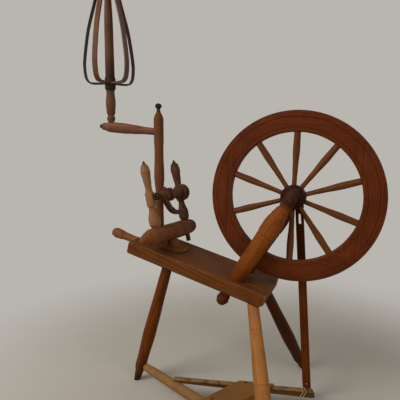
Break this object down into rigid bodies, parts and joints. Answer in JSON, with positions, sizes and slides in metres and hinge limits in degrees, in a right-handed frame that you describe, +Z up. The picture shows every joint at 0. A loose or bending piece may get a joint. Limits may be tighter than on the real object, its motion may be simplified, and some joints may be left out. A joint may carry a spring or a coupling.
{
  "type": "saxony spinning wheel",
  "caption": "Treadle spinning wheel with a spoked wheel on a sloping three-legged bench, a flyer between turned maidens and a birdcage distaff on a post.",
  "frame": {"origin": "on the floor, at the middle of the flyer-end leg's foot", "axes": "+X along the bench toward the wheel, +Y along the axle away from the spinner, +Z up"},
  "size_m": [0.9921, 0.5827, 1.5121],
  "materials": {
    "bench_wood": "worn oiled oak",
    "leg_dark": "dark oiled wood",
    "leg_pale": "worn pale wood",
    "far_leg_wood": "dark stained wood",
    "upright_orange": "varnished wood",
    "upright_dark": "dark varnished wood",
    "rim_wood": "red-brown varnished wood",
    "spoke_wood": "varnished wood",
    "hub_wood": "greasy dark wood",
    "iron": "blackened wrought iron",
    "footman_wood": "dark oiled wood",
    "treadle_wood": "worn wood",
    "board_wood": "foot-worn wood",
    "string": "natural twine",
    "handle_wood": "varnished wood",
    "moa_wood": "varnished wood",
    "maiden_pale": "bare worn wood",
    "maiden_dark": "dark stained wood",
    "leather": "hard greased leather",
    "flyer_wood": "dark stained wood",
    "post_wood": "red-brown varnished wood",
    "distaff_wood": "oiled wood",
    "rib_wood": "dark bent wood"
  },
  "bodies": {
    "stand": {"bench": "bench_wood", "flyer_leg": "leg_dark", "near_leg": "leg_pale", "far_leg": "far_leg_wood", "near_upright": "upright_orange", "far_upright": "upright_dark", "near_knob": "handle_wood", "far_knob": "upright_dark"},
    "wheel": {"felloe_1": "rim_wood", "felloe_2": "rim_wood", "felloe_3": "rim_wood", "felloe_4": "rim_wood", "spoke_1": "spoke_wood", "spoke_2": "spoke_wood", "spoke_3": "spoke_wood", "spoke_4": "spoke_wood", "spoke_5": "spoke_wood", "spoke_6": "spoke_wood", "spoke_7": "spoke_wood", "spoke_8": "spoke_wood", "spoke_9": "spoke_wood", "spoke_10": "spoke_wood", "hub": "hub_wood", "axle": "iron", "crank_collar": "iron"},
    "footman": {"footman": "footman_wood"},
    "treadle": {"treadle_rail": "leg_pale", "rail_pins": "iron", "treadle_arm": "treadle_wood", "treadle_board": "board_wood", "treadle_nails": "iron", "footman_tie": "string"},
    "tension_screw": {"tension_screw": "handle_wood"},
    "mother_of_all": {"moa_bar": "moa_wood", "moa_post": "moa_wood", "near_maiden": "maiden_pale", "far_maiden": "maiden_dark", "near_leather": "leather", "far_leather": "leather"},
    "flyer": {"flyer_yoke": "flyer_wood", "flyer_hooks": "iron", "flyer_spindle": "iron", "whorl": "flyer_wood"},
    "bobbin": {"bobbin": "flyer_wood"},
    "distaff_post": {"distaff_post": "post_wood", "distaff_arm": "post_wood"},
    "distaff": {"distaff_base": "distaff_wood", "distaff_knob": "rib_wood", "distaff_core": "distaff_wood", "rib_1": "rib_wood", "rib_2": "rib_wood", "rib_3": "rib_wood", "rib_4": "rib_wood", "rib_5": "rib_wood", "distaff_cap": "rib_wood"}
  },
  "joints": [
    {"name": "wheel_spin", "type": "hinge", "parent": "stand", "child": "wheel", "pos_m": [0.53719, 0.035, 0.69], "axis": [0, 1, 0], "continuous": true},
    {"name": "footman_swing", "type": "hinge", "parent": "wheel", "child": "footman", "pos_m": [0.54276, 0.121, 0.65039], "axis": [0, 1, 0], "continuous": true},
    {"name": "treadle_rock", "type": "hinge", "parent": "stand", "child": "treadle", "pos_m": [0.01911, -0.00138, 0.0625], "axis": [0.9266, -0.3761, 0], "range_deg": [0, 14]},
    {"name": "tension_turn", "type": "hinge", "parent": "stand", "child": "tension_screw", "pos_m": [0.47514, 0.035, 0.37983], "axis": [-0.9668, 0, 0.2554], "range_deg": [-360, 360]},
    {"name": "moa_slide", "type": "slide", "parent": "stand", "child": "mother_of_all", "axis": [-0.9668, 0, 0.2554], "range_m": [-0.008, 0.008]},
    {"name": "flyer_spin", "type": "hinge", "parent": "mother_of_all", "child": "flyer", "pos_m": [0.12411, 0.0367, 0.68122], "axis": [0.1305, 0.9914, 0], "continuous": true},
    {"name": "bobbin_spin", "type": "hinge", "parent": "flyer", "child": "bobbin", "pos_m": [0.12411, 0.0367, 0.68122], "axis": [0.1305, 0.9914, 0], "continuous": true},
    {"name": "post_turn", "type": "hinge", "parent": "stand", "child": "distaff_post", "pos_m": [0.04422, 0.107, 0.6], "axis": [0, 0, 1], "range_deg": [-120, 120]},
    {"name": "distaff_turn", "type": "hinge", "parent": "distaff_post", "child": "distaff", "pos_m": [-0.11123, 0.04197, 0.9], "axis": [0, 0, 1], "continuous": true}
  ],
  "couplings": [
    {"joint": "footman_swing", "follows": "wheel_spin", "ratio": -1},
    {"joint": "tension_turn", "follows": "moa_slide", "rad_per_m": 785.35}
  ]
}
